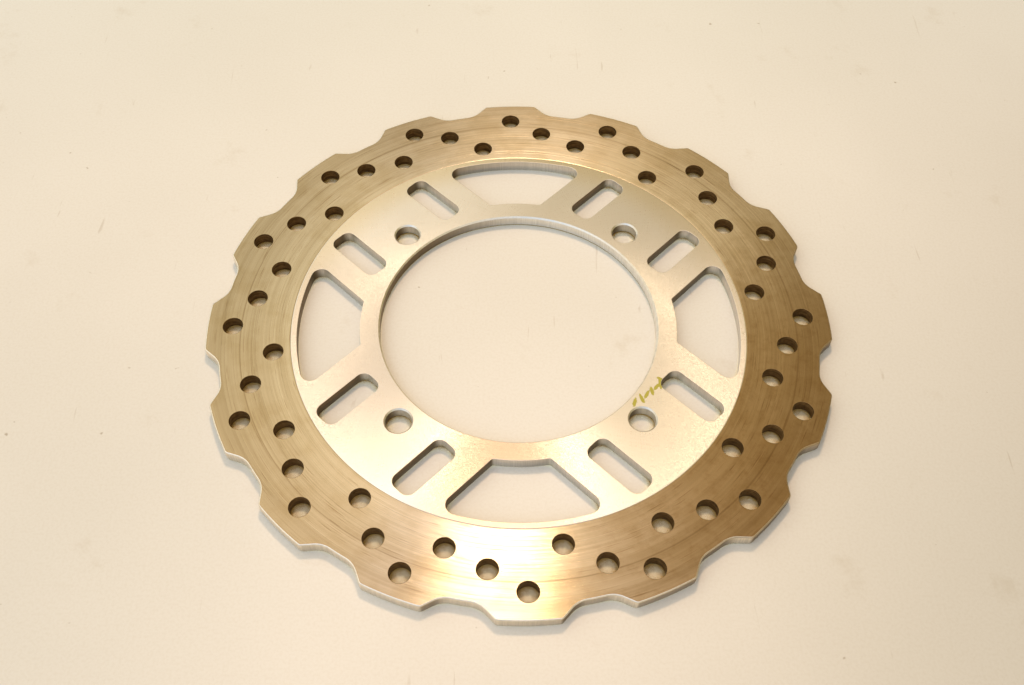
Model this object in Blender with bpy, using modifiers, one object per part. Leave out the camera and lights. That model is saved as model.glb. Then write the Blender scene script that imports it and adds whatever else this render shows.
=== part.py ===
"""One-piece motorcycle brake disc with a wavy rim.

Metres, +Z up. The disc's axis is the Z axis, its hub face lies on z = 0 and its outer face on
z = THICKNESS. The +X axis points to the middle of a window, so the bolt holes stand at 45 degrees.

The whole disc is one steel plate: a flat outline with its vent holes, slots and windows, given its
thickness, in which the chamfered bore and bolt holes are then turned.
"""
import math

import bmesh
import bpy

MM = 0.001

# Plate
THICKNESS = 4.5 * MM
RIM_RADIUS = 110.0 * MM

# Wavy rim: lobes that stand out to the rim radius, with shallow valleys between them
LOBES = 16
LOBE_PHASE = 0.6            # degrees by which the lobes and vent holes lead the bolt holes
VALLEY_RADIUS = 105.2 * MM
LOBE_HALF_ANGLE = 5.25      # degrees from a lobe's middle to its corner
FLANK_ANGLE = 43.0          # degrees between a lobe's flank and the rim's tangent
LOBE_CORNER_RADIUS = 1.8 * MM
VALLEY_CORNER_RADIUS = 8.0 * MM

# Hub interface
BORE_RADIUS = 49.0 * MM
BOLTS = 4
BOLT_CIRCLE_RADIUS = 57.5 * MM
BOLT_HOLE_RADIUS = 4.5 * MM
EDGE_CHAMFER = 0.5 * MM     # on both mouths of the bore and of the bolt holes

# Vent holes run inwards from each lobe in a curved row of three. Every second row is stretched.
VENT_RADIUS = 3.5 * MM
VENT_ROWS = (
    ((100.9 * MM, 0.0), (94.2 * MM, -7.44), (89.75 * MM, -16.46)),
    ((101.8 * MM, 0.0), (95.2 * MM, -7.47), (86.3 * MM, -14.91)),
)                           # distance from the axis, and degrees from the lobe's middle

# Two slots flank each bolt hole, parallel to the line from the axis to that hole
SLOT_LENGTH = 23.0 * MM
SLOT_WIDTH = 9.2 * MM
SLOT_CORNER_RADIUS = 3.2 * MM
SLOT_DISTANCE = 63.5 * MM   # along that line, to the slot's middle
SLOT_OFFSET = 18.7 * MM     # from that line

# Windows between the bolt holes: arcs about the axis, joined by sides parallel to the slots
WINDOW_INNER_RADIUS = 56.0 * MM
WINDOW_OUTER_RADIUS = 78.1 * MM
WINDOW_SIDE_OFFSET = 32.3 * MM
WINDOW_INNER_CORNER = 1.2 * MM
WINDOW_OUTER_CORNER = 3.5 * MM

# Fineness of the round shapes, in segments
VENT_SEGMENTS = 24
BORE_SEGMENTS = 96
BOLT_SEGMENTS = 32
CORNER_STEPS = 4
ARC_STEP = 2.8              # degrees of a long arc that one segment spans

CUTTER_OVERRUN = 1.0 * MM
WELD_DISTANCE = 0.001 * MM

STEEL_COLOUR = (0.64, 0.55, 0.42, 1.0)
STEEL_ROUGHNESS = 0.34


def clear_scene():
    """Remove the objects that the scene holds."""
    for old in list(bpy.data.objects):
        bpy.data.objects.remove(old, do_unlink=True)


def new_collection(name):
    """Return a new collection, linked to the scene."""
    collection = bpy.data.collections.new(name)
    bpy.context.scene.collection.children.link(collection)
    return collection


def polar(radius, degrees):
    """Return the point at this distance and angle from the axis."""
    turn = math.radians(degrees)
    return (radius * math.cos(turn), radius * math.sin(turn))


def arc(centre, radius, start, end, steps):
    """Return the points of an arc about a centre, from one angle in degrees to another."""
    points = []
    for step in range(steps + 1):
        x, y = polar(radius, start + (end - start) * step / steps)
        points.append((centre[0] + x, centre[1] + y))
    return points


def axis_arc(radius, start, end):
    """Return the points of an arc about the disc's axis, as fine as ARC_STEP asks."""
    steps = max(1, math.ceil(abs(end - start) / ARC_STEP))
    return arc((0.0, 0.0), radius, start, end, steps)


def rotated(points, degrees):
    """Return the points turned about the axis."""
    cos = math.cos(math.radians(degrees))
    sin = math.sin(math.radians(degrees))
    return [(x * cos - y * sin, x * sin + y * cos) for x, y in points]


def mirrored(points):
    """Return the points mirrored in the X axis, in reverse order."""
    return [(x, -y) for x, y in reversed(points)]


def half_lobe():
    """Return the rim from the middle of a lobe at 0 degrees to the middle of the next valley."""
    flank = LOBE_HALF_ANGLE + FLANK_ANGLE
    flank_distance = RIM_RADIUS * math.cos(math.radians(FLANK_ANGLE))

    crest_distance = RIM_RADIUS - LOBE_CORNER_RADIUS
    crest_lean = math.acos((flank_distance - LOBE_CORNER_RADIUS) / crest_distance)
    crest = flank - math.degrees(crest_lean)

    foot_distance = VALLEY_RADIUS + VALLEY_CORNER_RADIUS
    foot_lean = math.acos((flank_distance + VALLEY_CORNER_RADIUS) / foot_distance)
    foot = flank - math.degrees(foot_lean)

    points = axis_arc(RIM_RADIUS, 0.0, crest)[:-1]
    points += arc(polar(crest_distance, crest), LOBE_CORNER_RADIUS, crest, flank, CORNER_STEPS)
    points += arc(polar(foot_distance, foot), VALLEY_CORNER_RADIUS, flank + 180.0, foot + 180.0,
                  CORNER_STEPS)
    return points + axis_arc(VALLEY_RADIUS, foot, 180.0 / LOBES)[1:]


def rim_outline():
    """Return the closed wavy rim."""
    half = half_lobe()
    lobe = mirrored(half)[:-1] + half[:-1]
    points = []
    for index in range(LOBES):
        points += rotated(lobe, LOBE_PHASE + index * 360.0 / LOBES)
    return points


def vent_outlines():
    """Return the circle of every vent hole."""
    outlines = []
    for index in range(LOBES):
        lobe_angle = LOBE_PHASE + 90.0 - index * 360.0 / LOBES
        for distance, lag in VENT_ROWS[index % len(VENT_ROWS)]:
            centre = polar(distance, lobe_angle + lag)
            outlines.append(arc(centre, VENT_RADIUS, 0.0, 360.0, VENT_SEGMENTS)[:-1])
    return outlines


def slot_outlines():
    """Return the rounded rectangle of every slot."""
    x = SLOT_LENGTH / 2.0 - SLOT_CORNER_RADIUS
    y = SLOT_WIDTH / 2.0 - SLOT_CORNER_RADIUS
    corners = ((x, y, 0.0), (-x, y, 90.0), (-x, -y, 180.0), (x, -y, 270.0))
    outlines = []
    for bolt in range(BOLTS):
        for side in (-1.0, 1.0):
            points = []
            for corner_x, corner_y, start in corners:
                centre = (SLOT_DISTANCE + corner_x, side * SLOT_OFFSET + corner_y)
                points += arc(centre, SLOT_CORNER_RADIUS, start, start + 90.0, CORNER_STEPS)
            outlines.append(rotated(points, (bolt + 0.5) * 360.0 / BOLTS))
    return outlines


def window_corner(distance, radius):
    """Return how far, in degrees, a window's corner centre stands from the window's middle."""
    from_bolt = math.asin((WINDOW_SIDE_OFFSET + radius) / distance)
    return 180.0 / BOLTS - math.degrees(from_bolt)


def window_outlines():
    """Return the outline of every window."""
    side_facing = 90.0 + 180.0 / BOLTS
    outer_distance = WINDOW_OUTER_RADIUS - WINDOW_OUTER_CORNER
    inner_distance = WINDOW_INNER_RADIUS + WINDOW_INNER_CORNER
    outer = window_corner(outer_distance, WINDOW_OUTER_CORNER)
    inner = window_corner(inner_distance, WINDOW_INNER_CORNER)

    half = axis_arc(WINDOW_OUTER_RADIUS, 0.0, outer)[:-1]
    half += arc(polar(outer_distance, outer), WINDOW_OUTER_CORNER, outer, side_facing,
                CORNER_STEPS)
    half += arc(polar(inner_distance, inner), WINDOW_INNER_CORNER, side_facing, inner + 180.0,
                CORNER_STEPS)
    half += axis_arc(WINDOW_INNER_RADIUS, inner, 0.0)[1:]

    whole = half + mirrored(half)[1:-1]
    return [rotated(whole, window * 360.0 / BOLTS) for window in range(BOLTS)]


def flat_plate(name, outlines, collection):
    """Return a mesh plate from z = 0 to THICKNESS with these outlines, the rim and its holes."""
    curve = bpy.data.curves.new(name, "CURVE")
    curve.dimensions = "2D"
    curve.fill_mode = "BOTH"
    curve.extrude = THICKNESS / 2.0
    for points in outlines:
        spline = curve.splines.new("POLY")
        spline.points.add(len(points) - 1)
        for point, (x, y) in zip(spline.points, points):
            point.co = (x, y, 0.0, 1.0)
        spline.use_cyclic_u = True
    flat = bpy.data.objects.new(name + "_outline", curve)
    flat.location.z = THICKNESS / 2.0
    collection.objects.link(flat)
    bpy.context.view_layer.update()

    evaluated = flat.evaluated_get(bpy.context.evaluated_depsgraph_get())
    mesh = bpy.data.meshes.new_from_object(evaluated)
    mesh.name = name
    bm = bmesh.new()
    bm.from_mesh(mesh)
    bmesh.ops.remove_doubles(bm, verts=bm.verts, dist=WELD_DISTANCE)
    bmesh.ops.recalc_face_normals(bm, faces=bm.faces)
    bm.to_mesh(mesh)
    bm.free()
    mesh.shade_smooth()
    mesh.set_sharp_from_angle(angle=math.radians(30.0))

    plate = bpy.data.objects.new(name, mesh)
    plate.matrix_world = flat.matrix_world
    collection.objects.link(plate)
    bpy.data.objects.remove(flat, do_unlink=True)
    return plate


def hole_cutter(name, radius, segments, centre, collection):
    """Return a turned cutter for a through hole with a chamfer at both mouths."""
    flare = radius + EDGE_CHAMFER + CUTTER_OVERRUN
    profile = (
        (0.0, THICKNESS + CUTTER_OVERRUN),
        (flare, THICKNESS + CUTTER_OVERRUN),
        (radius, THICKNESS - EDGE_CHAMFER),
        (radius, EDGE_CHAMFER),
        (flare, -CUTTER_OVERRUN),
        (0.0, -CUTTER_OVERRUN),
    )
    mesh = bpy.data.meshes.new(name)
    edges = [(index, index + 1) for index in range(len(profile) - 1)]
    mesh.from_pydata([(x, 0.0, z) for x, z in profile], edges, [])
    cutter = bpy.data.objects.new(name, mesh)
    cutter.location = (centre[0], centre[1], 0.0)
    cutter.display_type = "WIRE"
    cutter.hide_render = True
    collection.objects.link(cutter)

    screw = cutter.modifiers.new("turn", "SCREW")
    screw.axis = "Z"
    screw.angle = math.radians(360.0)
    screw.steps = segments
    screw.render_steps = segments
    screw.use_merge_vertices = True
    screw.merge_threshold = WELD_DISTANCE
    screw.use_smooth_shade = True
    return cutter


def cut(piece, cutter):
    """Subtract the cutter from the piece."""
    difference = piece.modifiers.new(cutter.name, "BOOLEAN")
    difference.operation = "DIFFERENCE"
    difference.solver = "EXACT"
    difference.object = cutter


def steel_material(name):
    """Return the ground steel of the disc."""
    material = bpy.data.materials.new(name)
    material.use_nodes = True
    principled = material.node_tree.nodes["Principled BSDF"]
    principled.inputs["Base Color"].default_value = STEEL_COLOUR
    principled.inputs["Roughness"].default_value = STEEL_ROUGHNESS
    principled.inputs["Metallic"].default_value = 1.0
    material.diffuse_color = STEEL_COLOUR
    return material


def build():
    """Model the brake disc."""
    clear_scene()
    parts = new_collection("wavy_brake_disc")
    cutters = new_collection("cutters")

    outlines = [rim_outline()] + vent_outlines() + slot_outlines() + window_outlines()
    disc = flat_plate("brake_disc", outlines, parts)
    disc.data.materials.append(steel_material("ground_steel"))

    cut(disc, hole_cutter("bore_cutter", BORE_RADIUS, BORE_SEGMENTS, (0.0, 0.0), cutters))
    for bolt in range(BOLTS):
        centre = polar(BOLT_CIRCLE_RADIUS, (bolt + 0.5) * 360.0 / BOLTS)
        name = "bolt_hole_cutter_{}".format(bolt + 1)
        cut(disc, hole_cutter(name, BOLT_HOLE_RADIUS, BOLT_SEGMENTS, centre, cutters))


build()
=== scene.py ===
"""The looks of the wavy brake disc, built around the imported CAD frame.

Metres, +Z up. The disc's axis is the Z axis and its underside lies on z = 0. The CAD disc is
faceted, so one finely turned disc with broken edges, a turned groove and scored friction faces
stands for it. Its steel has five finishes: ground friction ring, satin carrier, cut walls,
browned vent walls and bright edges.
"""
import math
import random

import bmesh
import bpy
from mathutils import Matrix, Vector
from mathutils.geometry import delaunay_2d_cdt


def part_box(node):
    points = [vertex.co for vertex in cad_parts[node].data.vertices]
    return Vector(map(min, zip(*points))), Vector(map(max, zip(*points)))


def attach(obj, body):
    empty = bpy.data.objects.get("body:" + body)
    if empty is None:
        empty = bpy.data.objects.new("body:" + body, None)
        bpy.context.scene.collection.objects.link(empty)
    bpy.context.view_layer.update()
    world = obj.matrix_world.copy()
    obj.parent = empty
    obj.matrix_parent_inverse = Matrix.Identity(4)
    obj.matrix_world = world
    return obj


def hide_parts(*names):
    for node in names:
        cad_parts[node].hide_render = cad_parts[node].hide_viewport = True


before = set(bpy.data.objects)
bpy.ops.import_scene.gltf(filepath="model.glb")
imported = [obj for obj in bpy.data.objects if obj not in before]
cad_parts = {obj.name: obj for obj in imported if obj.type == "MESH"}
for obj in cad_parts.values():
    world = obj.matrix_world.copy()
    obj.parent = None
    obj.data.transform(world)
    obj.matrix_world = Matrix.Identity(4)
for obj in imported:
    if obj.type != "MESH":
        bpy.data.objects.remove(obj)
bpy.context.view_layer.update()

MM = 0.001
NODE = "brake_disc"

# The plate, as the CAD node gives it
disc_low, disc_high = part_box(NODE)
TOP = disc_high.z
BOTTOM = disc_low.z
CAD_RADII = [vertex.co.xy.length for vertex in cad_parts[NODE].data.vertices]
RIM_RADIUS = disc_high.x
BORE_RADIUS = min(CAD_RADII)

# Wavy rim
LOBES = 16
LOBE_PHASE = 0.6            # degrees by which the lobes and vent holes lead the bolt holes
VALLEY_RADIUS = 105.2 * MM
LOBE_HALF_ANGLE = 5.25      # degrees from a lobe's middle to its corner
FLANK_ANGLE = 43.0          # degrees between a lobe's flank and the rim's tangent
LOBE_CORNER_RADIUS = 1.8 * MM
VALLEY_CORNER_RADIUS = 8.0 * MM

# Bolt holes
BOLTS = 4
BOLT_CIRCLE_RADIUS = 57.5 * MM
BOLT_HOLE_RADIUS = 4.5 * MM

# Vent holes run inwards from each lobe in a curved row of three. Every second row is stretched.
VENT_RADIUS = 3.5 * MM
VENT_ROWS = (
    ((100.9 * MM, 0.0), (94.2 * MM, -7.44), (89.75 * MM, -16.46)),
    ((101.8 * MM, 0.0), (95.2 * MM, -7.47), (86.3 * MM, -14.91)),
)                           # distance from the axis, and degrees from the lobe's middle

# Slots beside each bolt hole, parallel to the line from the axis to that hole
SLOT_LENGTH = 23.0 * MM
SLOT_WIDTH = 9.2 * MM
SLOT_CORNER_RADIUS = 3.2 * MM
SLOT_DISTANCE = 63.5 * MM
SLOT_OFFSET = 18.7 * MM

# Windows between the bolt holes
WINDOW_INNER_RADIUS = 56.0 * MM
WINDOW_OUTER_RADIUS = 78.1 * MM
WINDOW_SIDE_OFFSET = 32.3 * MM
WINDOW_INNER_CORNER = 1.2 * MM
WINDOW_OUTER_CORNER = 3.5 * MM

# Edges: size of the break or chamfer, and the segments that round it
RIM_BREAK = (0.40 * MM, 3)
CUT_BREAK = (0.12 * MM, 2)
VENT_BREAK = (0.12 * MM, 2)
HOLE_CHAMFER = (0.50 * MM, 1)
FACE_CREASE = math.radians(0.8)     # bend from which an edge on a face is shaded sharp
WALL_CREASE = math.radians(35.0)    # the same, for an edge between walls

# Turned groove that parts the carrier from the friction ring, and the ring's wear
GROOVE_RADIUS = 80.2 * MM
GROOVE_HALF_WIDTH = 0.24 * MM
GROOVE_DEPTH = 0.10 * MM
RING_WEAR = 0.03 * MM
SCORE_SEED = 11
SCORE_COUNT = 13
SCORE_RANGE = (82.0 * MM, 104.6 * MM)
SCORE_SPACING = 1.1 * MM
SCORE_HALF_WIDTH = (0.10 * MM, 0.24 * MM)
SCORE_DEPTH = (0.010 * MM, 0.028 * MM)
SCORE_RUN_OUT = 1.5 * MM    # over which a score fades towards a vent hole

# Fineness, in segments
RING_SEGMENTS = 720
VENT_SEGMENTS = 48
BORE_SEGMENTS = 360
BOLT_SEGMENTS = 64
CORNER_STEPS = 8
ARC_STEP = 0.75             # degrees of a long arc that one segment spans
RING_CLEARANCE = 0.25 * MM  # from a ring's point to the edge of a hole
MERGE_DISTANCE = 0.001 * MM

# Grinding wheel that crossed the carrier, and the fineness of its marks
WHEEL_RADIUS = 266.0 * MM
WHEEL_DISTANCE = 230.0 * MM
WHEEL_MARKS = 230.0
WHEEL_MARK_DRIFT = 60.0

# Dabs of marking paint: distance, azimuth and lean of each, and their half length and width
DABS = (
    (51.4 * MM, 318.5, 75.0),
    (52.4 * MM, 321.5, 110.0),
    (52.9 * MM, 324.0, 60.0),
    (53.6 * MM, 326.5, 100.0),
    (54.2 * MM, 329.0, 50.0),
    (54.9 * MM, 330.5, 95.0),
    (54.4 * MM, 332.5, 140.0),
)
DAB_SIZE = (2.1 * MM, 0.65 * MM)

# Material places on the disc
RING_FINISH = 0
CARRIER_FINISH = 1
WALL_FINISH = 2
VENT_FINISH = 3
EDGE_FINISH = 4


# ---------------------------------------------------------------------------------------------
# Outlines. Each takes the inset, by which the metal has shrunk away from its true edge.
# ---------------------------------------------------------------------------------------------

def polar(radius, degrees):
    """Return the point at this distance and angle from the axis."""
    turn = math.radians(degrees)
    return (radius * math.cos(turn), radius * math.sin(turn))


def arc(centre, radius, start, end, steps):
    """Return the points of an arc about a centre, from one angle in degrees to another."""
    points = []
    for step in range(steps + 1):
        x, y = polar(radius, start + (end - start) * step / steps)
        points.append((centre[0] + x, centre[1] + y))
    return points


def axis_arc(radius, start, end):
    """Return the points of an arc about the disc's axis, as fine as ARC_STEP asks."""
    steps = max(1, math.ceil(abs(end - start) / ARC_STEP))
    return arc((0.0, 0.0), radius, start, end, steps)


def rotated(points, degrees):
    """Return the points turned about the axis."""
    cos = math.cos(math.radians(degrees))
    sin = math.sin(math.radians(degrees))
    return [(x * cos - y * sin, x * sin + y * cos) for x, y in points]


def mirrored(points):
    """Return the points mirrored in the X axis, in reverse order."""
    return [(x, -y) for x, y in reversed(points)]


def half_lobe(inset):
    """Return the rim from the middle of a lobe at 0 degrees to the middle of the next valley."""
    flank = LOBE_HALF_ANGLE + FLANK_ANGLE
    flank_distance = RIM_RADIUS * math.cos(math.radians(FLANK_ANGLE))

    crest_distance = RIM_RADIUS - LOBE_CORNER_RADIUS
    crest_lean = math.acos((flank_distance - LOBE_CORNER_RADIUS) / crest_distance)
    crest = flank - math.degrees(crest_lean)

    foot_distance = VALLEY_RADIUS + VALLEY_CORNER_RADIUS
    foot_lean = math.acos((flank_distance + VALLEY_CORNER_RADIUS) / foot_distance)
    foot = flank - math.degrees(foot_lean)

    points = axis_arc(RIM_RADIUS - inset, 0.0, crest)[:-1]
    points += arc(polar(crest_distance, crest), LOBE_CORNER_RADIUS - inset, crest, flank,
                  CORNER_STEPS)
    points += arc(polar(foot_distance, foot), VALLEY_CORNER_RADIUS + inset, flank + 180.0,
                  foot + 180.0, CORNER_STEPS)
    return points + axis_arc(VALLEY_RADIUS - inset, foot, 180.0 / LOBES)[1:]


def rim(inset):
    """Return the closed wavy rim."""
    half = half_lobe(inset)
    lobe = mirrored(half)[:-1] + half[:-1]
    points = []
    for index in range(LOBES):
        points += rotated(lobe, LOBE_PHASE + index * 360.0 / LOBES)
    return points


def circle(centre, radius, segments):
    """Return a function that gives a round hole's outline at an inset."""
    def outline(inset):
        return arc(centre, radius + inset, 0.0, 360.0, segments)[:-1]
    return outline


def vent_centres():
    """Return the centre of every vent hole."""
    centres = []
    for index in range(LOBES):
        lobe_angle = LOBE_PHASE + 90.0 - index * 360.0 / LOBES
        for distance, lag in VENT_ROWS[index % len(VENT_ROWS)]:
            centres.append(polar(distance, lobe_angle + lag))
    return centres


def slot(bolt, side):
    """Return a function that gives the outline of one slot beside a bolt hole."""
    x = SLOT_LENGTH / 2.0 - SLOT_CORNER_RADIUS
    y = SLOT_WIDTH / 2.0 - SLOT_CORNER_RADIUS
    corners = ((x, y, 0.0), (-x, y, 90.0), (-x, -y, 180.0), (x, -y, 270.0))

    def outline(inset):
        points = []
        for corner_x, corner_y, start in corners:
            centre = (SLOT_DISTANCE + corner_x, side * SLOT_OFFSET + corner_y)
            points += arc(centre, SLOT_CORNER_RADIUS + inset, start, start + 90.0, CORNER_STEPS)
        return rotated(points, (bolt + 0.5) * 360.0 / BOLTS)
    return outline


def window_corner(distance, radius):
    """Return how far, in degrees, a window's corner centre stands from the window's middle."""
    from_bolt = math.asin((WINDOW_SIDE_OFFSET + radius) / distance)
    return 180.0 / BOLTS - math.degrees(from_bolt)


def window(index):
    """Return a function that gives the outline of one window."""
    side_facing = 90.0 + 180.0 / BOLTS
    outer_distance = WINDOW_OUTER_RADIUS - WINDOW_OUTER_CORNER
    inner_distance = WINDOW_INNER_RADIUS + WINDOW_INNER_CORNER
    outer = window_corner(outer_distance, WINDOW_OUTER_CORNER)
    inner = window_corner(inner_distance, WINDOW_INNER_CORNER)

    def outline(inset):
        half = axis_arc(WINDOW_OUTER_RADIUS + inset, 0.0, outer)[:-1]
        half += arc(polar(outer_distance, outer), WINDOW_OUTER_CORNER + inset, outer,
                    side_facing, CORNER_STEPS)
        half += arc(polar(inner_distance, inner), WINDOW_INNER_CORNER + inset, side_facing,
                    inner + 180.0, CORNER_STEPS)
        half += axis_arc(WINDOW_INNER_RADIUS - inset, inner, 0.0)[1:]
        whole = half + mirrored(half)[1:-1]
        return rotated(whole, index * 360.0 / BOLTS)
    return outline


# ---------------------------------------------------------------------------------------------
# The turned disc
# ---------------------------------------------------------------------------------------------

def all_edges():
    """Return every edge as (outline function, edge break, wear of its face, wall's finish)."""
    edges = [(rim, RIM_BREAK, RING_WEAR, WALL_FINISH)]
    for centre in vent_centres():
        vent = circle(centre, VENT_RADIUS, VENT_SEGMENTS)
        edges.append((vent, VENT_BREAK, RING_WEAR, VENT_FINISH))
    bore = circle((0.0, 0.0), BORE_RADIUS, BORE_SEGMENTS)
    edges.append((bore, HOLE_CHAMFER, 0.0, WALL_FINISH))
    for bolt in range(BOLTS):
        centre = polar(BOLT_CIRCLE_RADIUS, (bolt + 0.5) * 360.0 / BOLTS)
        bolt_hole = circle(centre, BOLT_HOLE_RADIUS, BOLT_SEGMENTS)
        edges.append((bolt_hole, HOLE_CHAMFER, 0.0, WALL_FINISH))
        edges.append((slot(bolt, -1.0), CUT_BREAK, 0.0, WALL_FINISH))
        edges.append((slot(bolt, 1.0), CUT_BREAK, 0.0, WALL_FINISH))
        edges.append((window(bolt), CUT_BREAK, 0.0, WALL_FINISH))
    return edges


def score_profile():
    """Return the (radius, depth) steps of the face, from the carrier out over the scoring."""
    draw = random.Random(SCORE_SEED)
    steps = [
        (GROOVE_RADIUS - GROOVE_HALF_WIDTH, 0.0),
        (GROOVE_RADIUS, GROOVE_DEPTH),
        (GROOVE_RADIUS + GROOVE_HALF_WIDTH, RING_WEAR),
    ]
    radii = []
    while len(radii) < SCORE_COUNT:
        radius = draw.uniform(*SCORE_RANGE)
        if all(abs(radius - other) > SCORE_SPACING for other in radii):
            radii.append(radius)
    for radius in sorted(radii):
        half_width = draw.uniform(*SCORE_HALF_WIDTH)
        depth = draw.uniform(*SCORE_DEPTH)
        steps.append((radius - half_width, RING_WEAR))
        steps.append((radius, RING_WEAR + depth))
        steps.append((radius + half_width, RING_WEAR))
    return steps


def vent_clearance(point, centres):
    """Return how far a point of the face stands from the edge of the nearest vent hole."""
    nearest = min(math.dist(point, centre) for centre in centres)
    return nearest - VENT_RADIUS - VENT_BREAK[0]


def run_out(depth, clearance):
    """Return a score's depth, which fades to the worn face towards a vent hole."""
    if depth < RING_WEAR:
        return depth
    share = min(1.0, (clearance - RING_CLEARANCE) / SCORE_RUN_OUT)
    return RING_WEAR + (depth - RING_WEAR) * share


def face_triangles(edges, profile):
    """Return a face's points, their depths and its triangles, without the holes."""
    points = []
    depths = []
    loops = []
    for outline, (size, _), wear, _ in edges:
        loop = outline(size)
        loops.append(list(range(len(points), len(points) + len(loop))))
        points += loop
        depths += [wear] * len(loop)

    centres = vent_centres()
    for radius, depth in profile:
        for point in arc((0.0, 0.0), radius, 0.0, 360.0, RING_SEGMENTS)[:-1]:
            clearance = vent_clearance(point, centres)
            if clearance > RING_CLEARANCE:
                points.append(point)
                depths.append(run_out(depth, clearance))

    result = delaunay_2d_cdt([Vector(point) for point in points], [], loops, 0, MERGE_DISTANCE)
    made_points, _, made_faces, first_points, _, first_loops = result
    made_depths = [depths[sources[0]] for sources in first_points]
    made_index = {source: made for made, sources in enumerate(first_points)
                  for source in sources}
    made_loops = [[made_index[index] for index in loop] for loop in loops]

    # The metal lies inside the first loop, the rim, and inside no other
    faces = [face for face, inside in zip(made_faces, first_loops) if list(inside) == [0]]
    return made_points, made_depths, faces, made_loops


def edge_steps(size, segments):
    """Return the (inset, drop) steps from a face to the wall, over a rounded or flat break."""
    steps = []
    for step in range(segments + 1):
        turn = math.radians(90.0 * step / segments)
        steps.append((size * (1.0 - math.sin(turn)), size * (1.0 - math.cos(turn))))
    return steps


def add_face(bm, flat, side, level):
    """Add one face of the disc. side is 1 for the top and -1 for the underside."""
    points, depths, triangles, loops = flat
    verts = [bm.verts.new((p.x, p.y, level - side * depth)) for p, depth in zip(points, depths)]
    for triangle in triangles:
        corners = [verts[index] for index in triangle]
        made = bm.faces.new(corners if side > 0 else corners[::-1])
        middle = sum((corner.co.xy for corner in corners), Vector((0.0, 0.0))) / 3.0
        on_ring = middle.length > GROOVE_RADIUS
        made.material_index = RING_FINISH if on_ring else CARRIER_FINISH
    return [[verts[index] for index in loop] for loop in loops]


def add_wall(bm, edge, top_loop, bottom_loop):
    """Join the two faces along one outline, over both edge breaks and the wall between them."""
    outline, (size, segments), wear, wall = edge
    steps = edge_steps(size, segments)
    edge_finish = VENT_FINISH if wall == VENT_FINISH else EDGE_FINISH
    rows = [top_loop]
    for inset, drop in steps[1:]:
        rows.append([bm.verts.new((x, y, TOP - wear - drop)) for x, y in outline(inset)])
    for inset, drop in reversed(steps[1:]):
        rows.append([bm.verts.new((x, y, BOTTOM + wear + drop)) for x, y in outline(inset)])
    rows.append(bottom_loop)
    for row, (upper, lower) in enumerate(zip(rows, rows[1:])):
        finish = wall if row == segments else edge_finish
        for index in range(len(upper)):
            after = (index + 1) % len(upper)
            made = bm.faces.new((upper[index], lower[index], lower[after], upper[after]))
            made.material_index = finish


def mark_sharp(bm):
    """Keep creases crisp: where a face meets its edge break, and along turned grooves."""
    for edge in bm.edges:
        if len(edge.link_faces) != 2:
            continue
        first, second = edge.link_faces
        flat = (RING_FINISH, CARRIER_FINISH)
        on_face = [face.material_index in flat for face in edge.link_faces]
        bend = first.normal.angle(second.normal, 0.0)
        limit = FACE_CREASE if all(on_face) else WALL_CREASE
        edge.smooth = bend < limit and not (any(on_face) and not all(on_face))


def add_object(name, data):
    """Add an object to the scene."""
    made = bpy.data.objects.new(name, data)
    bpy.context.scene.collection.objects.link(made)
    return made


def turned_disc(materials):
    """Return the finely turned disc."""
    edges = all_edges()
    flat = face_triangles(edges, score_profile())
    bm = bmesh.new()
    top_loops = add_face(bm, flat, 1.0, TOP)
    bottom_loops = add_face(bm, flat, -1.0, BOTTOM)
    for edge, top_loop, bottom_loop in zip(edges, top_loops, bottom_loops):
        add_wall(bm, edge, top_loop, bottom_loop)
    bmesh.ops.recalc_face_normals(bm, faces=bm.faces)
    for face in bm.faces:
        face.smooth = True
    bm.normal_update()
    mark_sharp(bm)
    mesh = bpy.data.meshes.new("turned_brake_disc")
    bm.to_mesh(mesh)
    bm.free()
    for material in materials:
        mesh.materials.append(material)
    return add_object("turned_brake_disc", mesh)


# ---------------------------------------------------------------------------------------------
# Looks. Scales count a noise's features per metre. A grain counts them per radian along circles
# about the axis, and per metre across them. Tones are the range of a noise and the two colours at
# its ends. A layer is the range over which a shade fades in, and the shade, which multiplies the
# colour beneath. A stain, like a sector shade, is an azimuth, a half angle in degrees and the
# shade at its middle; sector shades are painted shade, and in one place painted highlight, by
# azimuth. A roughness is the range of a noise and the roughness at its ends. A bump is a strength
# and a height.
# ---------------------------------------------------------------------------------------------

# Friction ring, which darkens outwards and browns where the pads and the weather left their marks,
# with painted shade and a painted highlight by azimuth
RING_COLOUR_RADII = (82.0 * MM, 106.0 * MM)
RING_COLOURS = ((0.80, 0.67, 0.445), (0.60, 0.485, 0.30))
FINE_GRAIN = (6.0, 5200.0)
BROAD_GRAIN = (1.8, 1300.0)
BAND_GRAIN = (0.6, 300.0)
SCRATCH_GRAIN = (7.0, 3300.0)
RING_MOTTLE_SCALE = 70.0
BROAD_LAYER = (0.35, 0.70, (0.90, 0.88, 0.84))
BAND_LAYER = (0.40, 0.65, (0.93, 0.92, 0.90))
RING_MOTTLE_LAYER = (0.42, 0.68, (0.90, 0.87, 0.80))
SCRATCH_LAYER = (0.66, 0.73, (0.696, 0.616, 0.52))
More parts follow.
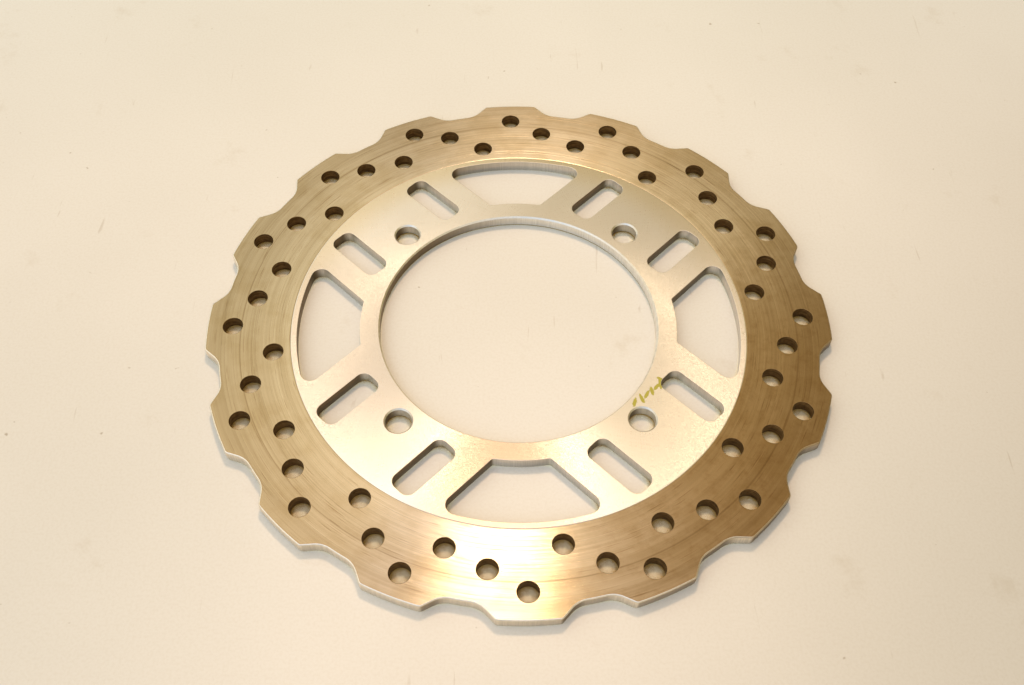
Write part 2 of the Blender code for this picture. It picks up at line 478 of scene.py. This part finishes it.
# Painted shade on the right, the left and the back, and a painted highlight on the front fan
RING_SECTOR_SHADES = (
    (336.0, 58.0, (0.57, 0.465, 0.32)),
    (185.0, 54.0, (0.83, 0.82, 0.78)),
    (93.0, 40.0, (0.88, 0.90, 0.98)),
    (258.0, 24.0, (1.03, 1.06, 1.20)),
)
GRIME_SCALE = 240.0
GRIME_RANGE = (0.45, 0.70)
GRIME_STAIN = (340.0, 85.0, (0.88, 0.84, 0.78))
PAD_TRACE_RADIUS = 97.8 * MM
PAD_TRACE_LAYER = (0.35 * MM, 0.12 * MM, (0.805, 0.766, 0.714))
RING_ROUGHNESS = (0.25, 0.75, 0.205, 0.24)
RING_BUMP = (0.35, 0.03 * MM)
RING_BROAD_RELIEF = 0.6     # share of the broad grain in the bump
RING_ANISOTROPY = 1.0

# Carrier, cross-hatched by a grinding wheel. Painted shade lies on it by azimuth, and a warm
# painted shade over its back half near the ring
CARRIER_MOTTLE_SCALE = 45.0
CARRIER_TONES = (0.3, 0.7, (0.93, 0.85, 0.71), (0.97, 0.89, 0.75))
# Painted shade by azimuth, deepest where it dims the front highlight
CARRIER_SECTOR_SHADES = (
    (264.0, 27.0, (0.62, 0.52, 0.46)),
    (188.0, 42.0, (0.82, 0.80, 0.80)),
    (58.0, 48.0, (0.84, 0.83, 0.80)),
    (315.0, 22.0, (0.97, 0.98, 0.94)),
)
# Warm painted shade over the back half of the carrier, near the ring
CARRIER_BACK_SHADE_RADII = (66.0 * MM, 80.0 * MM)
CARRIER_BACK_SHADE = (95.0, 115.0, (0.93, 0.86, 0.70))
WEAVE_SCALE = 7000.0        # of the patches in which one or the other sweep of the wheel shows
CARRIER_ROUGHNESS = (0.35, 0.75, 0.27, 0.32)
CARRIER_BUMP = (0.12, 0.02 * MM)
CARRIER_ANISOTROPY = 0.85
ALONG_CIRCLES = 0.25        # turn of the highlight, as a share of a full turn

# Marking paint
PAINT_COLOUR = (0.50, 0.41, 0.05)
PAINT_ROUGHNESS = 0.6
PAINT_EDGE_SCALE = 1400.0
PAINT_EDGE_RAGGEDNESS = 0.9
PAINT_REACH = 2.0           # in dab sizes, beyond which no dab matters
PAINT_FADE = (1.20, 1.55)   # in dab sizes

# Cut walls of the rim and the openings
WALL_GRAIN_SCALES = (2600.0, 2600.0, 90.0)
WALL_TONES = (0.3, 0.7, (0.78, 0.75, 0.69), (0.92, 0.89, 0.83))
# Painted shade on the walls that face away from the light, by the direction a wall faces
WALL_FACING_SHADES = (
    (340.0, 78.0, (0.22, 0.16, 0.09)),
)                           # by the direction that a wall faces
RIM_WALL_LAYER = (90.0 * MM, 100.0 * MM, (0.98, 0.90, 0.79))
INNER_WALL_START = (49.5 * MM, 54.0 * MM)
INNER_WALL_END = (92.0 * MM, 84.0 * MM)
INNER_WALL_SHADE = (0.78, 0.76, 0.74)
WALL_ROUGHNESS = (0.25, 0.75, 0.34, 0.48)
WALL_BUMP = (0.3, 0.03 * MM)

# Walls of the vent holes, drilled and then browned by brake dust
DRILL_RING_SCALES = (160.0, 160.0, 2600.0)
VENT_TONES = (0.35, 0.65, (0.12, 0.067, 0.018), (0.27, 0.165, 0.058))
DUST_SCALE = 700.0
DUST_LAYER = (0.4, 0.7, (0.70, 0.62, 0.55))
VENT_METALLIC = 0.7
VENT_ROUGHNESS = 0.5
VENT_BUMP = (0.4, 0.05 * MM)

# Broken edges and chamfers
NICK_SCALE = 900.0
EDGE_TONES = (0.35, 0.7, (0.80, 0.72, 0.58), (0.90, 0.82, 0.67))
# Painted shade that dulls the rim's outer edges on the right side
RIGHT_EDGE_SHADE_RADII = (90.0 * MM, 100.0 * MM)
RIGHT_EDGE_SHADE = (350.0, 70.0, (0.50, 0.42, 0.30))
EDGE_ROUGHNESS = (0.3, 0.7, 0.34, 0.5)
EDGE_BUMP = (0.3, 0.03 * MM)

# Floor, with a painted pool of light in front of the disc, painted shade towards the right, the
# right front and the back, and painted light far away
CLOUD_SCALE = 9.0
FLOOR_TONES = (0.3, 0.7, (0.73, 0.695, 0.595), (0.76, 0.725, 0.625))
FLOOR_GRAIN_SCALE = 1100.0
FLOOR_GRAIN_LAYER = (0.35, 0.75, (0.96, 0.95, 0.93))
FLOOR_LIGHT_POOL_CENTRE = (0.0, -0.15, 0.0)
LIGHT_POOL_FALLOFF_LAYER = (0.03, 0.17, (0.87, 0.89, 0.89))
RIGHT_FRONT_SHADE_LAYER = (0.05, 0.28, (0.84, 0.83, 0.80))
RIGHT_SHADE_LAYER = (0.06, 0.22, (0.93, 0.92, 0.92))
BACK_SHADE_LAYER = (0.0, 0.30, (0.90, 0.96, 0.99))
FAR_LIGHT_LAYER = (0.40, 1.60, (1.26, 1.15, 1.02))
SMUDGE_SCALE = 38.0
SMUDGE_LAYER = (0.60, 0.74, (0.93, 0.91, 0.88))
SPECK_SCALE = 230.0
SPECK_LAYER = (0.74, 0.80, (0.62, 0.56, 0.48))
SCUFF_SCALES = (420.0, 45.0, 1.0)
SCUFF_LAYER = (0.72, 0.80, (0.85, 0.82, 0.78))
NOOK_DISTANCE = 20.0 * MM   # up to which metal closes in a spot of the floor
NOOK_SAMPLES = 16
# Painted light where the floor is partly closed in, as on the vent holes' lit crescents, and
# painted shade deeper in, by how closed-in the floor is
NOOK_PAINTED_LIGHT_LAYER = (0.47, 0.39, (1.36, 1.40, 1.15))
NOOK_PAINTED_SHADE_LAYER = (0.372, 0.31, (0.46, 0.29, 0.09))
FLOOR_ROUGHNESS = 0.55
FLOOR_BUMP = (0.12, 0.1 * MM)


class Graph:
    """Short forms for the nodes of one material, or of the sky."""

    def __init__(self, owner):
        owner.use_nodes = True
        self.owner = owner
        self.tree = owner.node_tree

    def put(self, socket, value):
        """Link an output to a socket, or set the socket's value."""
        if isinstance(value, bpy.types.NodeSocket):
            self.tree.links.new(value, socket)
        elif socket.type == "RGBA":
            socket.default_value = (*value, 1.0)
        else:
            socket.default_value = value

    def node(self, kind, inputs=(), **settings):
        """Add a node, set its properties, and set or link its inputs by name or place."""
        made = self.tree.nodes.new(kind)
        for key, value in settings.items():
            setattr(made, key, value)
        for key, value in dict(inputs).items():
            self.put(made.inputs[key], value)
        return made

    def math(self, operation, first, second=0.0):
        """Return the result of a math node."""
        return self.node("ShaderNodeMath", {0: first, 1: second}, operation=operation).outputs[0]

    def vector_math(self, operation, first, second=(0.0, 0.0, 0.0), output=0):
        """Return the result of a vector math node: a vector, or its output "Value"."""
        made = self.node("ShaderNodeVectorMath", {0: first, 1: second}, operation=operation)
        return made.outputs[output]

    def vector(self, x, y, z):
        """Return a vector made of three values."""
        return self.node("ShaderNodeCombineXYZ", {0: x, 1: y, 2: z}).outputs[0]

    def parts(self, vector):
        """Return the three values of a vector."""
        return self.node("ShaderNodeSeparateXYZ", {0: vector}).outputs

    def stretch(self, vector, scales):
        """Return a vector scaled along each axis."""
        return self.node("ShaderNodeMapping", {"Vector": vector, "Scale": scales}).outputs[0]

    def remap(self, value, low, high, to_low=0.0, to_high=1.0, smooth=True):
        """Return the value's range mapped to another one, clamped."""
        made = self.node("ShaderNodeMapRange", {
            "Value": value, "From Min": low, "From Max": high,
            "To Min": to_low, "To Max": to_high,
        }, interpolation_type="SMOOTHSTEP" if smooth else "LINEAR")
        return made.outputs["Result"]

    def noise(self, vector, scale=1.0, detail=2.0, roughness=0.5, distortion=0.0):
        """Return the value of a noise texture."""
        made = self.node("ShaderNodeTexNoise", {
            "Vector": vector, "Scale": scale, "Detail": detail, "Roughness": roughness,
            "Distortion": distortion,
        })
        return made.outputs[0]

    def mix(self, factor, first, second, blend="MIX"):
        """Return two colours mixed."""
        made = self.node("ShaderNodeMix", data_type="RGBA", blend_type=blend)
        self.put(made.inputs[0], factor)
        self.put(made.inputs[6], first)
        self.put(made.inputs[7], second)
        return made.outputs[2]

    def bump(self, height, strength, distance):
        """Return a normal bumped by a height."""
        inputs = {"Height": height, "Strength": strength, "Distance": distance}
        return self.node("ShaderNodeBump", inputs).outputs[0]

    def finish(self, **inputs):
        """Set or link the Principled node's inputs and return the material."""
        principled = self.tree.nodes["Principled BSDF"]
        for key, value in inputs.items():
            self.put(principled.inputs[key.replace("_", " ")], value)
        return self.owner


def material_graph(name):
    """Return the graph of a new material."""
    return Graph(bpy.data.materials.new(name))


def object_position(graph):
    """Return the position in the object's own frame."""
    return graph.node("ShaderNodeTexCoord").outputs["Object"]


def round_place(graph):
    """Return the object position, the radius, and the unit direction from the axis."""
    position = object_position(graph)
    x, y, _ = graph.parts(position)
    flat = graph.vector(x, y, 0.0)
    radius = graph.vector_math("LENGTH", flat, output="Value")
    return position, radius, graph.vector_math("NORMALIZE", flat)


def turned_grain(graph, radius, unit, grain, detail):
    """Return noise that stretches along circles about the axis."""
    along, across = grain
    x, y, _ = graph.parts(unit)
    return graph.noise(graph.vector(
        graph.math("MULTIPLY", x, along),
        graph.math("MULTIPLY", y, along),
        graph.math("MULTIPLY", radius, across),
    ), detail=detail)


def radial_tangent(graph):
    """Return the tangent that points away from the axis, across the turned scratches."""
    return graph.node("ShaderNodeTangent", direction_type="RADIAL", axis="Z").outputs[0]


def tones(graph, value, low, high, first, second):
    """Return a colour that goes from the first to the second over a value's range."""
    return graph.mix(graph.remap(value, low, high), first, second)


def tint(graph, mask, colour, shade):
    """Return the colour multiplied by a shade where the mask is 1."""
    return graph.mix(mask, colour, shade, "MULTIPLY")


def layered(graph, colour, layers):
    """Return the colour under layers, each a pair of the value it fades in with and its look."""
    for value, (low, high, shade) in layers:
        colour = tint(graph, graph.remap(value, low, high), colour, shade)
    return colour


def sector(graph, unit, azimuth, half_angle):
    """Return a smooth mask that fades from 1 in this direction to 0 at the half angle, degrees."""
    facing = graph.vector_math("DOT_PRODUCT", unit, (*polar(1.0, azimuth), 0.0), "Value")
    return graph.remap(facing, math.cos(math.radians(half_angle)), 1.0)


def sector_shaded(graph, unit, colour, sector_shades):
    """Return the colour under painted shades and highlights that each fade out over a sector."""
    for azimuth, half_angle, shade in sector_shades:
        colour = tint(graph, sector(graph, unit, azimuth, half_angle), colour, shade)
    return colour


def part_grime_and_shade(graph, unit, mask, colour, tint_sector):
    """Return the colour under one sector tint that shows only where the mask is 1; it lays grime
    and painted shade.
    """
    azimuth, half_angle, shade = tint_sector
    both = graph.math("MULTIPLY", mask, sector(graph, unit, azimuth, half_angle))
    return tint(graph, both, colour, shade)


# ---------------------------------------------------------------------------------------------
# Materials
# ---------------------------------------------------------------------------------------------

def ring_steel():
    """Return the ground and pad-scored steel of the friction ring."""
    graph = material_graph("ring_steel")
    position, radius, unit = round_place(graph)
    fine = turned_grain(graph, radius, unit, FINE_GRAIN, 3.0)
    broad = turned_grain(graph, radius, unit, BROAD_GRAIN, 4.0)
    bands = turned_grain(graph, radius, unit, BAND_GRAIN, 2.0)
    scratches = turned_grain(graph, radius, unit, SCRATCH_GRAIN, 1.0)
    mottle = graph.noise(position, RING_MOTTLE_SCALE, detail=5.0, roughness=0.6)
    grime = graph.noise(position, GRIME_SCALE, detail=5.0, roughness=0.7)
    trace = graph.math("ABSOLUTE", graph.math("SUBTRACT", radius, PAD_TRACE_RADIUS))

    outward = graph.remap(radius, *RING_COLOUR_RADII, smooth=False)
    colour = graph.mix(outward, *RING_COLOURS)
    colour = layered(graph, colour, (
        (broad, BROAD_LAYER), (bands, BAND_LAYER), (mottle, RING_MOTTLE_LAYER),
    ))
    # Painted shade on the right, the left and the back, and a painted highlight on the front fan
    colour = sector_shaded(graph, unit, colour, RING_SECTOR_SHADES)
    colour = part_grime_and_shade(graph, unit, graph.remap(grime, *GRIME_RANGE), colour, GRIME_STAIN)
    colour = layered(graph, colour, ((trace, PAD_TRACE_LAYER), (scratches, SCRATCH_LAYER)))

    height = graph.math("ADD", fine, graph.math("MULTIPLY", broad, RING_BROAD_RELIEF))
    return graph.finish(Base_Color=colour, Metallic=1.0,
                        Roughness=graph.remap(fine, *RING_ROUGHNESS),
                        Normal=graph.bump(height, *RING_BUMP), Anisotropic=RING_ANISOTROPY,
                        Anisotropic_Rotation=ALONG_CIRCLES, Tangent=radial_tangent(graph))


def wheel_marks(graph, radius, unit, side):
    """Return the noise of the arcs that a grinding wheel leaves, sweeping in or out."""
    x, y, _ = graph.parts(unit)
    angle = graph.math("ARCTAN2", y, x)
    square = graph.math("MULTIPLY", radius, radius)
    reach = graph.math("ADD", square, WHEEL_DISTANCE ** 2 - WHEEL_RADIUS ** 2)
    span = graph.math("MULTIPLY", radius, 2.0 * WHEEL_DISTANCE)
    lag = graph.math("ARCCOSINE", graph.math("DIVIDE", reach, span))
    turn = graph.math("ADD", angle, graph.math("MULTIPLY", lag, side))
    return graph.noise(graph.vector(
        graph.math("MULTIPLY", graph.math("COSINE", turn), WHEEL_MARKS),
        graph.math("MULTIPLY", graph.math("SINE", turn), WHEEL_MARKS),
        graph.math("MULTIPLY", radius, WHEEL_MARK_DRIFT),
    ), detail=3.0)


def wheel_slope(graph, radius):
    """Return the share of a turn by which the wheel's arcs lean from the circles."""
    square = graph.math("MULTIPLY", radius, radius)
    reach = graph.math("ADD", square, WHEEL_RADIUS ** 2 - WHEEL_DISTANCE ** 2)
    span = graph.math("MULTIPLY", radius, 2.0 * WHEEL_RADIUS)
    lean = graph.math("ARCCOSINE", graph.math("DIVIDE", reach, span))
    return graph.math("DIVIDE", lean, 2.0 * math.pi)


def wheel_turn(graph, position, radius):
    """Return the highlight's turn, which leans one way or the other from patch to patch."""
    weave = graph.noise(position, WEAVE_SCALE, detail=0.0)
    one_way = graph.math("GREATER_THAN", weave, 0.5)
    sign = graph.math("SUBTRACT", graph.math("MULTIPLY", one_way, 2.0), 1.0)
    lean = graph.math("MULTIPLY", sign, wheel_slope(graph, radius))
    return graph.math("SUBTRACT", ALONG_CIRCLES, lean)


def paint_dabs(graph, position):
    """Return the mask of the short dabs of marking paint beside one bolt hole, on the top."""
    x, y, z = graph.parts(position)
    flat = graph.vector(x, y, 0.0)
    ragged = graph.noise(position, PAINT_EDGE_SCALE)
    ragged = graph.math("MULTIPLY", ragged, PAINT_EDGE_RAGGEDNESS)
    nearest = PAINT_REACH
    for distance, azimuth, lean in DABS:
        local = graph.node("ShaderNodeMapping", {
            "Vector": flat, "Location": (*polar(distance, azimuth), 0.0),
            "Rotation": (0.0, 0.0, math.radians(lean)), "Scale": (*DAB_SIZE, 1.0),
        }, vector_type="TEXTURE").outputs[0]
        away = graph.vector_math("LENGTH", local, output="Value")
        nearest = graph.math("MINIMUM", nearest, away)
    inside = graph.remap(graph.math("ADD", nearest, ragged), *PAINT_FADE, 1.0, 0.0)
    on_top = graph.math("GREATER_THAN", z, (TOP + BOTTOM) / 2.0)
    return graph.math("MULTIPLY", inside, on_top)


def carrier_steel():
    """Return the satin steel of the carrier, cross-hatched by a grinding wheel."""
    graph = material_graph("carrier_steel")
    position, radius, unit = round_place(graph)
    height = graph.math("MAXIMUM", wheel_marks(graph, radius, unit, -1.0),
                        wheel_marks(graph, radius, unit, 1.0))
    mottle = graph.noise(position, CARRIER_MOTTLE_SCALE, detail=4.0)
    dabs = paint_dabs(graph, position)

    colour = tones(graph, mottle, *CARRIER_TONES)
    # Painted shade by azimuth
    colour = sector_shaded(graph, unit, colour, CARRIER_SECTOR_SHADES)
    # Warm painted shade over the back half of the carrier, near the ring
    colour = part_grime_and_shade(graph, unit, graph.remap(radius, *CARRIER_BACK_SHADE_RADII), colour, CARRIER_BACK_SHADE)
    colour = graph.mix(dabs, colour, PAINT_COLOUR)

    rough = graph.remap(height, *CARRIER_ROUGHNESS)
    rough = graph.math("MAXIMUM", rough, graph.math("MULTIPLY", dabs, PAINT_ROUGHNESS))
    return graph.finish(Base_Color=colour, Metallic=graph.math("SUBTRACT", 1.0, dabs),
                        Roughness=rough, Normal=graph.bump(height, *CARRIER_BUMP),
                        Anisotropic=CARRIER_ANISOTROPY,
                        Anisotropic_Rotation=wheel_turn(graph, position, radius),
                        Tangent=radial_tangent(graph))


def wall_steel():
    """Return the cut walls of the rim and the openings."""
    graph = material_graph("wall_steel")
    position, radius, _ = round_place(graph)
    grain = graph.noise(graph.stretch(position, WALL_GRAIN_SCALES), detail=3.0)
    facing = graph.node("ShaderNodeNewGeometry").outputs["Normal"]
    inner = graph.math("MULTIPLY", graph.remap(radius, *INNER_WALL_START),
                       graph.remap(radius, *INNER_WALL_END))

    colour = tones(graph, grain, *WALL_TONES)
    # Painted shade on walls that face away from the light
    colour = sector_shaded(graph, facing, colour, WALL_FACING_SHADES)
    colour = layered(graph, colour, ((radius, RIM_WALL_LAYER),))
    colour = tint(graph, inner, colour, INNER_WALL_SHADE)
    return graph.finish(Base_Color=colour, Metallic=1.0,
                        Roughness=graph.remap(grain, *WALL_ROUGHNESS),
                        Normal=graph.bump(grain, *WALL_BUMP))


def vent_steel():
    """Return the vent holes' walls: drilled, and browned by brake dust."""
    graph = material_graph("vent_steel")
    position = object_position(graph)
    rings = graph.noise(graph.stretch(position, DRILL_RING_SCALES))
    dust = graph.noise(position, DUST_SCALE, detail=4.0)
    colour = layered(graph, tones(graph, rings, *VENT_TONES), ((dust, DUST_LAYER),))
    return graph.finish(Base_Color=colour, Metallic=VENT_METALLIC, Roughness=VENT_ROUGHNESS,
                        Normal=graph.bump(rings, *VENT_BUMP))


def edge_steel():
    """Return the bright broken edges and chamfers."""
    graph = material_graph("edge_steel")
    position, radius, unit = round_place(graph)
    nicks = graph.noise(position, NICK_SCALE, detail=3.0)
    colour = tones(graph, nicks, *EDGE_TONES)
    # Painted shade that dulls the rim's outer edges on the right side
    colour = part_grime_and_shade(graph, unit, graph.remap(radius, *RIGHT_EDGE_SHADE_RADII), colour, RIGHT_EDGE_SHADE)
    return graph.finish(Base_Color=colour, Metallic=1.0,
                        Roughness=graph.remap(nicks, *EDGE_ROUGHNESS),
                        Normal=graph.bump(nicks, *EDGE_BUMP))


def floor_cream():
    """Return the pale, faintly marked floor, with painted light and shade."""
    graph = material_graph("floor_cream")
    position = object_position(graph)
    x, y, _ = graph.parts(position)
    clouds = graph.noise(position, CLOUD_SCALE, detail=4.0)
    grain = graph.noise(position, FLOOR_GRAIN_SCALE, detail=3.0)
    smudges = graph.noise(position, SMUDGE_SCALE, detail=5.0, roughness=0.65)
    specks = graph.noise(position, SPECK_SCALE)
    scuffs = graph.noise(graph.stretch(position, SCUFF_SCALES), distortion=0.6)
    away = graph.vector_math("DISTANCE", position, FLOOR_LIGHT_POOL_CENTRE, "Value")
    nook = graph.node("ShaderNodeAmbientOcclusion", {"Distance": NOOK_DISTANCE},
                      samples=NOOK_SAMPLES)
    open_sky = nook.outputs["AO"]

    colour = layered(graph, tones(graph, clouds, *FLOOR_TONES), (
        (grain, FLOOR_GRAIN_LAYER),
        # Painted light and shade: a pool of light in front, shade to the right, right front and
        # back
        (away, LIGHT_POOL_FALLOFF_LAYER),
        (graph.math("SUBTRACT", x, y), RIGHT_FRONT_SHADE_LAYER),
        (x, RIGHT_SHADE_LAYER),
        (y, BACK_SHADE_LAYER),
        (away, FAR_LIGHT_LAYER),
        (smudges, SMUDGE_LAYER),
        (specks, SPECK_LAYER),
        (scuffs, SCUFF_LAYER),
        # Painted light on partly closed-in floor, and painted shade deep in the holes
        (open_sky, NOOK_PAINTED_LIGHT_LAYER),
        (open_sky, NOOK_PAINTED_SHADE_LAYER),
    ))
    return graph.finish(Base_Color=colour, Roughness=FLOOR_ROUGHNESS,
                        Normal=graph.bump(grain, *FLOOR_BUMP))


# ---------------------------------------------------------------------------------------------
# Stage
# ---------------------------------------------------------------------------------------------

FLOOR_SIZE = 24.0
FLOOR_CELLS = 4
FLOOR_GAP = 0.02 * MM       # between the floor and the disc's underside
CENTRE = Vector(((disc_low.x + disc_high.x) / 2.0, (disc_low.y + disc_high.y) / 2.0, TOP))

# Camera, from the middle of the disc's top
CAMERA_OFFSET = Vector((-9.3, -228.0, 311.2)) * MM
CAMERA_AIM = Vector((-9.8, -9.3, 0.0)) * MM
CAMERA_ROLL = math.radians(-0.54)
CAMERA_LENS = 38.3
CAMERA_SENSOR = 36.0
CAMERA_SHIFT = (0.0209, 0.0005)
CAMERA_CLIP_START = 0.01

# Lamps. The one for the disc and the one for the floor stand apart, each with its own tilt.
KEY_OFFSET = Vector((-4.0, 300.0, 875.0)) * MM
KEY_SIZE = 0.11
KEY_POWER = 0.90
KEY_COLOUR = (1.0, 0.78, 0.57)
FLOOR_KEY_OFFSET = Vector((18.0, 480.0, 880.0)) * MM
FLOOR_KEY_SIZE = 0.12
FLOOR_KEY_POWER = 4.6
FLOOR_KEY_COLOUR = (1.0, 0.69, 0.45)

# Soft glows of the sky: azimuth, tilt from overhead, and colour of each
GLOW_SHARPNESS = 6.0
GLOWS = (
    (0.0, 0.0, (0.60, 0.36, 0.42)),
    (45.0, 42.0, (0.26, 0.25, 0.22)),
    (135.0, 42.0, (0.66, 0.66, 0.62)),
    (180.0, 42.0, (0.62, 0.47, 0.28)),
    (225.0, 42.0, (0.21, 0.50, 0.90)),
    (270.0, 42.0, (0.22, 0.38, 0.74)),
    (315.0, 42.0, (0.57, 0.55, 0.44)),
    (135.0, 75.0, (0.46, 0.62, 0.84)),
    (215.0, 82.0, (0.68, 0.70, 0.78)),
)
FILL_COLOUR = (0.24, 0.19, 0.05)
BACKDROP_COLOUR = (0.80, 0.71, 0.58)


def floor():
    """Add the floor under the disc."""
    bpy.ops.mesh.primitive_grid_add(x_subdivisions=FLOOR_CELLS, y_subdivisions=FLOOR_CELLS,
                                    size=FLOOR_SIZE,
                                    location=(CENTRE.x, CENTRE.y, BOTTOM - FLOOR_GAP))
    made = bpy.context.active_object
    made.name = "floor"
    made.data.materials.append(floor_cream())
    return made


def camera():
    """Add the camera, looking down at the disc from the front."""
    data = bpy.data.cameras.new("camera")
    data.lens = CAMERA_LENS
    data.sensor_width = CAMERA_SENSOR
    data.shift_x, data.shift_y = CAMERA_SHIFT
    data.clip_start = CAMERA_CLIP_START
    made = add_object("camera", data)
    ahead = CAMERA_AIM - CAMERA_OFFSET
    turn = ahead.to_track_quat("-Z", "Y").to_matrix().to_4x4()
    made.matrix_world = (Matrix.Translation(CENTRE + CAMERA_OFFSET) @ turn
                         @ Matrix.Rotation(CAMERA_ROLL, 4, "Z"))
    bpy.context.scene.camera = made


def area_light(name, offset, size, power, colour):
    """Add a square area light that shines at the disc's middle."""
    data = bpy.data.lights.new(name, "AREA")
    data.size = size
    data.energy = power
    data.color = colour
    made = add_object(name, data)
    made.location = CENTRE + offset
    made.rotation_euler = (-offset).to_track_quat("-Z", "Y").to_euler()
    return made


def shine_on(light, receiver):
    """Keep a light to one object; the others still cast their shadows."""
    lit = bpy.data.collections.new("lit_by_" + light.name)
    lit.objects.link(receiver)
    light.light_linking.receiver_collection = lit


def glow(graph, direction, azimuth, tilt, colour):
    """Return the light of one soft glow in the sky."""
    lean = math.radians(tilt)
    centre = (*polar(math.sin(lean), azimuth), math.cos(lean))
    facing = graph.vector_math("DOT_PRODUCT", direction, centre, "Value")
    fade = graph.math("POWER", graph.math("MAXIMUM", facing, 0.0), GLOW_SHARPNESS)
    light = graph.node("ShaderNodeVectorMath", {0: colour, "Scale": fade}, operation="SCALE")
    return light.outputs[0]


def sky():
    """Light the stage with soft glows, in front of a plain pale backdrop."""
    world = bpy.data.worlds.new("studio")
    bpy.context.scene.world = world
    graph = Graph(world)
    direction = graph.node("ShaderNodeTexCoord").outputs["Generated"]
    light = FILL_COLOUR
    for azimuth, tilt, colour in GLOWS:
        light = graph.vector_math("ADD", light, glow(graph, direction, azimuth, tilt, colour))
    seen = graph.node("ShaderNodeLightPath").outputs["Is Camera Ray"]
    background = graph.tree.nodes["Background"]
    graph.put(background.inputs["Color"], graph.mix(seen, light, BACKDROP_COLOUR))


def stage(made_disc):
    """Set up the floor, the light and the camera."""
    made_floor = floor()
    camera()
    key = area_light("key", KEY_OFFSET, KEY_SIZE, KEY_POWER, KEY_COLOUR)
    shine_on(key, made_disc)
    floor_key = area_light("floor_key", FLOOR_KEY_OFFSET, FLOOR_KEY_SIZE, FLOOR_KEY_POWER,
                           FLOOR_KEY_COLOUR)
    shine_on(floor_key, made_floor)
    sky()
    bpy.context.scene.view_settings.view_transform = "Standard"


disc = turned_disc([ring_steel(), carrier_steel(), wall_steel(), vent_steel(), edge_steel()])
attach(disc, "root")
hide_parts(NODE)
stage(disc)
